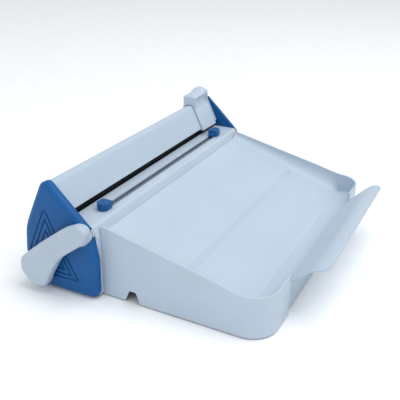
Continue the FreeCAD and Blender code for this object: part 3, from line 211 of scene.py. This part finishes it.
WHITE = srgb(180, 194, 208)
BLUE = srgb(2, 83, 144)
LOOKS = {
    "white_plastic": moulded("white_plastic", WHITE),
    "white_beam": coated("white_beam", srgb(176, 192, 206)),
    "white_lever": moulded("white_lever", srgb(175, 189, 203), grain=0.12),
    "white_head": moulded("white_head", srgb(178, 191, 207), grain=0.12, edge_mm=1.0),
    "blue_plastic": moulded("blue_plastic", BLUE, rough=0.44, grain=0.2, edge_mm=1.0,
                            specular=0.3),
    "blue_guide": moulded("blue_guide", srgb(3, 78, 140), rough=0.36, grain=0.08, specular=0.35),
    "sheet_steel": brushed("sheet_steel", srgb(176, 180, 186), along=(1, 40, 1)),
    "bright_steel": brushed("bright_steel", srgb(196, 198, 202), rough=0.26),
    "blade_steel": brushed("blade_steel", srgb(214, 218, 224), rough=0.16, along=(1, 1, 1)),
    "screw_steel": brushed("screw_steel", srgb(170, 172, 176), rough=0.3, along=(1, 1, 1)),
    "rail_steel": brushed("rail_steel", srgb(150, 158, 170), rough=0.38),
    "black_metal": coated("black_metal", srgb(8, 9, 13), rough=0.5),
    "black_rubber": rubber("black_rubber", srgb(10, 10, 13)),
    "cutting_rubber": rubber("cutting_rubber", srgb(24, 25, 28), rough=0.6),
    "black_hub": moulded("black_hub", srgb(24, 25, 28), rough=0.5),
    "brass_bush": brushed("brass_bush", srgb(186, 150, 92), rough=0.3, along=(1, 1, 1)),
}

for entry in frame["record"]["subparts"]:
    for holder in frame["nodes"][entry["node"]].material_slots:
        holder.material = LOOKS[entry["material_slot"]]


# ---------------------------------------------------------------- shapes

SLOT_OF = {entry["node"]: entry["material_slot"] for entry in frame["record"]["subparts"]}
BODY_OF = {node: body for body, nodes in frame["record"]["behaviour"]["bodies"].items()
           for node in nodes}

# how far each edge of a pressed or moulded piece is rounded, in millimetres
EDGE_ROUND = {
    "front_tray": 0.6,
    "deck_cover": 0.7,
    "rear_housing": 0.7,
    "guide_beam": 0.6,
}
BEVEL_STEPS = 3
FLAT_DEGREES = 0.5
SHARP_DEGREES = 35

# how far a firm point of a melted piece follows the smoothing, from 0 to 1
FIRM_SHARE = 0.12
LEVER_VOXEL, LEVER_ROUNDS = 1.1, 22
HEAD_VOXEL, HEAD_ROUNDS = 0.7, 22
GUIDE_VOXEL, GUIDE_ROUNDS = 0.45, 8
# how far outside the cover the lever, and below the beam's top the head, stay crisp
LEVER_REACH = 1.5
SADDLE_DROP = 4

# the head's grip: how deep its dome reaches, and how far the dome falls at front and rear
GRIP_DEPTH = 22
GRIP_FALL = 5.0

# the side covers' domes: their rise, the spacing of their cuts, the height of their middle as a
# share of the cover's, the squared distance at which they have fallen fully, and their edge angle
CROWN_RISE = 4.5
CROWN_STEP = 7.0
CROWN_MIDDLE = 0.42
CROWN_REACH = 1.4
CROWN_DEGREES = 28

# the machine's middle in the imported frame
MIDDLE = Vector((8.5, 9.87, 2.0))
TRAY_HALF = 199.0
TRAY_WALL = 2.5
# the tray's side section about the machine's middle: (y, floor height, wall top)
TRAY_SECTION = [
    (69.0, 85.4, 95.6),
    (-85.0, 37.7, 62.0),
    (-108.0, 30.6, 56.5),
    (-118.0, 27.3, 54.5),
]

# the coves: their width, the share of the wall they climb, how far they sink into the tray, the
# length over which they taper to their front tip, the tip's width and height, and their steps
COVE_WIDE = 16.0
COVE_CLIMB = 0.86
COVE_SUNK = 0.4
COVE_TAPER = 14
COVE_TIP_WIDE, COVE_TIP_TALL = 0.6, 0.4
COVE_ROWS, COVE_ARC = 44, 10


def rounded_edges(node, width_mm):
    """Rounds every sharp edge of a CAD piece with a small bevel."""
    piece = frame["nodes"][node]
    flats = piece.modifiers.new("flats", "DECIMATE")
    flats.decimate_type = "DISSOLVE"
    flats.angle_limit = math.radians(FLAT_DEGREES)
    bevel = piece.modifiers.new("edges", "BEVEL")
    bevel.limit_method = "ANGLE"
    bevel.angle_limit = math.radians(SHARP_DEGREES)
    bevel.width = width_mm * MM
    bevel.segments = BEVEL_STEPS
    bevel.use_clamp_overlap = False
    bevel.harden_normals = True


def settle(piece):
    """Applies the piece's modifiers, so that its mesh is final."""
    depsgraph = bpy.context.evaluated_depsgraph_get()
    mesh = bpy.data.meshes.new_from_object(piece.evaluated_get(depsgraph))
    piece.modifiers.clear()
    piece.data = mesh


def shaded(mesh, name, sharp_degrees):
    """The finished form of a mesh in the making: smooth faces with sharp edges between them."""
    made = bpy.data.meshes.new(name)
    mesh.to_mesh(made)
    mesh.free()
    made.polygons.foreach_set("use_smooth", [True] * len(made.polygons))
    made.set_sharp_from_angle(angle=math.radians(sharp_degrees))
    return made


def stand_in(node, mesh):
    """A new piece that takes over a CAD node's place, motion and finish."""
    piece = bpy.data.objects.new(node + "_skin", mesh)
    scene.collection.objects.link(piece)
    piece.data.materials.clear()
    piece.data.materials.append(LOOKS[SLOT_OF[node]])
    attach(piece, BODY_OF[node])
    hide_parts(node)
    return piece


def melted(node, voxel_mm, rounds, firm=None):
    """A CAD piece remade as one soft moulding: fine even faces, with every edge flowed round.

    firm names the points, given in metres, whose edges stay crisp because they meet another piece.
    """
    piece = stand_in(node, frame["nodes"][node].data.copy())
    remesh = piece.modifiers.new("even", "REMESH")
    remesh.mode = "VOXEL"
    remesh.voxel_size = voxel_mm * MM
    settle(piece)
    soft = piece.vertex_groups.new(name="soft")
    for vert in piece.data.vertices:
        share = FIRM_SHARE if firm and firm(vert.co) else 1.0
        soft.add([vert.index], share, "REPLACE")
    smooth = piece.modifiers.new("flow", "SMOOTH")
    smooth.factor = 0.5
    smooth.iterations = rounds
    smooth.vertex_group = "soft"
    settle(piece)
    piece.data.polygons.foreach_set("use_smooth", [True] * len(piece.data.polygons))
    return piece


def domed_grip(piece, node):
    """Draws the top of the carriage's grip into a dome that falls to its front and its rear."""
    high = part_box(node)[1][2]
    top = [vert for vert in piece.data.vertices if vert.co.z > high - GRIP_DEPTH * MM]
    front = min(vert.co.y for vert in top)
    rear = max(vert.co.y for vert in top)
    for vert in top:
        share = (vert.co.z - high + GRIP_DEPTH * MM) / (GRIP_DEPTH * MM)
        across = (vert.co.y - (front + rear) / 2) / ((rear - front) / 2)
        vert.co.z -= GRIP_FALL * MM * share ** 2 * across ** 2


def crowned(node, side):
    """A side cover with its flat outer face drawn into a low dome that falls to the rim."""
    mesh = bmesh.new()
    mesh.from_mesh(frame["nodes"][node].data)
    bmesh.ops.remove_doubles(mesh, verts=mesh.verts, dist=0.001 * MM)
    low, high = (Vector(corner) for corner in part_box(node))
    for axis in (1, 2):
        normal = Vector((0, axis == 1, axis == 2))
        place = low[axis] + CROWN_STEP * MM
        while place < high[axis]:
            everything = mesh.verts[:] + mesh.edges[:] + mesh.faces[:]
            bmesh.ops.bisect_plane(mesh, geom=everything, plane_co=normal * place,
                                   plane_no=normal)
            place += CROWN_STEP * MM
    middle = (low + high) / 2
    middle.z = low.z + CROWN_MIDDLE * (high.z - low.z)
    inner, outer = (low.x, high.x) if side > 0 else (high.x, low.x)
    for vert in mesh.verts:
        depth = (vert.co.x - inner) / (outer - inner)
        across = (vert.co.y - middle.y) / (high.y - middle.y)
        upward = (vert.co.z - middle.z) / (high.z - middle.z)
        fall = min(1.0, (across ** 2 + upward ** 2) / CROWN_REACH)
        vert.co.x -= side * CROWN_RISE * MM * fall * max(0.0, depth)
    stand_in(node, shaded(mesh, node + "_skin", CROWN_DEGREES))


def tray_heights(y):
    """The tray's floor height and wall top at one place along its slope."""
    for start, stop in zip(TRAY_SECTION, TRAY_SECTION[1:]):
        if y >= stop[0]:
            share = (y - stop[0]) / (start[0] - stop[0])
            return [stop[i] + share * (start[i] - stop[i]) for i in (1, 2)]
    return TRAY_SECTION[-1][1:]


def wall_cove(name, side):
    """The wide coved foot where the tray's floor turns up into a side wall."""
    rear, front = TRAY_SECTION[0][0], TRAY_SECTION[-1][0]
    wall = TRAY_HALF - TRAY_WALL
    turns = [math.radians(90 * i / COVE_ARC) for i in range(COVE_ARC + 1)]
    points = []
    for row in range(COVE_ROWS + 1):
        y = rear + (front - rear) * row / COVE_ROWS
        floor_z, top_z = tray_heights(y)
        taper = min(1.0, (y - front) / COVE_TAPER) ** 0.5
        wide = COVE_TIP_WIDE + (COVE_WIDE - COVE_TIP_WIDE) * taper
        tall = COVE_TIP_TALL + (COVE_CLIMB * (top_z - floor_z) - COVE_TIP_TALL) * taper
        section = [(wall - wide + wide * math.cos(turn), floor_z + tall - tall * math.sin(turn))
                   for turn in turns]
        section += [(wall - wide, floor_z - COVE_SUNK), (wall + COVE_SUNK, floor_z - COVE_SUNK),
                    (wall + COVE_SUNK, floor_z + tall)]
        points += [(Vector((side * x, y, z)) + MIDDLE) * MM for x, z in section]
    ring = len(section)
    faces = [[row * ring + i, row * ring + (i + 1) % ring, (row + 1) * ring + (i + 1) % ring,
              (row + 1) * ring + i] for row in range(COVE_ROWS) for i in range(ring)]
    faces += [list(range(ring)), list(range(COVE_ROWS * ring, (COVE_ROWS + 1) * ring))]
    mesh = bmesh.new()
    verts = [mesh.verts.new(point) for point in points]
    for face in faces:
        mesh.faces.new([verts[i] for i in face])
    bmesh.ops.recalc_face_normals(mesh, faces=mesh.faces)
    piece = bpy.data.objects.new(name, shaded(mesh, name, SHARP_DEGREES))
    scene.collection.objects.link(piece)
    piece.data.materials.append(LOOKS["white_plastic"])
    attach(piece, "housing")


for node, width_mm in EDGE_ROUND.items():
    rounded_edges(node, width_mm)
wall_cove("left_wall_cove", -1)
wall_cove("right_wall_cove", 1)
lever_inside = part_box("left_side_cover")[0][0] - LEVER_REACH * MM
melted("lever_arm", LEVER_VOXEL, LEVER_ROUNDS, lambda spot: spot.x > lever_inside)
saddle_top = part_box("guide_beam")[1][2] - SADDLE_DROP * MM
head = melted("carriage_shell", HEAD_VOXEL, HEAD_ROUNDS, lambda spot: spot.z < saddle_top)
domed_grip(head, "carriage_shell")
melted("left_edge_guide", GUIDE_VOXEL, GUIDE_ROUNDS)
melted("right_edge_guide", GUIDE_VOXEL, GUIDE_ROUNDS)
crowned("left_side_cover", -1)
crowned("right_side_cover", 1)


# ---------------------------------------------------------------- floor, light and camera

FLOOR_SIZE = 24


def floor():
    """A wide pale sheet that the object stands on."""
    bpy.ops.mesh.primitive_plane_add(size=FLOOR_SIZE, location=(0, 0, 0))
    sheet = bpy.context.object
    sheet.name = "floor"
    paper = Surface("floor_paper", Specular_IOR_Level=0.1)
    grain = paper.noise(30, detail=3)
    dark, light = srgb(246, 247, 248), srgb(249, 250, 251)
    paper.colour(paper.mixed(paper.spread(grain, 0, 1), dark, light))
    paper.rough(paper.spread(grain, 0.85, 0.95))
    sheet.data.materials.append(paper.material)


def softbox(name, place, aim, size, power):
    """A square studio light that faces a point."""
    lamp = bpy.data.lights.new(name, "AREA")
    lamp.shape = "SQUARE"
    lamp.size = size
    lamp.energy = power
    holder = bpy.data.objects.new(name, lamp)
    holder.location = place
    holder.rotation_euler = (Vector(aim) - Vector(place)).to_track_quat("-Z", "Y").to_euler()
    scene.collection.objects.link(holder)


def studio():
    """A broad overhead key towards the front, a weak light from the left and an even sky."""
    softbox("key", place=(0.1, -0.9, 2.3), aim=(0, 0, 0), size=1.8, power=32)
    softbox("side", place=(-2.0, 0.2, 1.6), aim=(0.1, 0, 0.05), size=1.4, power=6)
    world = bpy.data.worlds.new("sky")
    world.use_nodes = True
    backdrop = world.node_tree.nodes["Background"]
    backdrop.inputs["Color"].default_value = (0.94, 0.97, 1.0, 1)
    backdrop.inputs["Strength"].default_value = 0.78
    scene.world = world


def camera():
    """The reference picture's viewpoint: above the left front corner, with a normal lens."""
    eye = Vector((-0.73684, -0.32684, 0.45237))
    right = Vector((0.4540, -0.8909, 0.0164)).normalized()
    back = Vector((-0.8083, -0.4040, 0.4283)).normalized()
    up = back.cross(right).normalized()
    right = up.cross(back)
    lens = bpy.data.cameras.new("camera")
    lens.lens = 56.86
    lens.sensor_width = 36
    lens.clip_start = 0.01
    holder = bpy.data.objects.new("camera", lens)
    turn = Matrix((right, up, back)).transposed().to_4x4()
    holder.matrix_world = Matrix.Translation(eye) @ turn
    scene.collection.objects.link(holder)
    scene.camera = holder


floor()
studio()
camera()
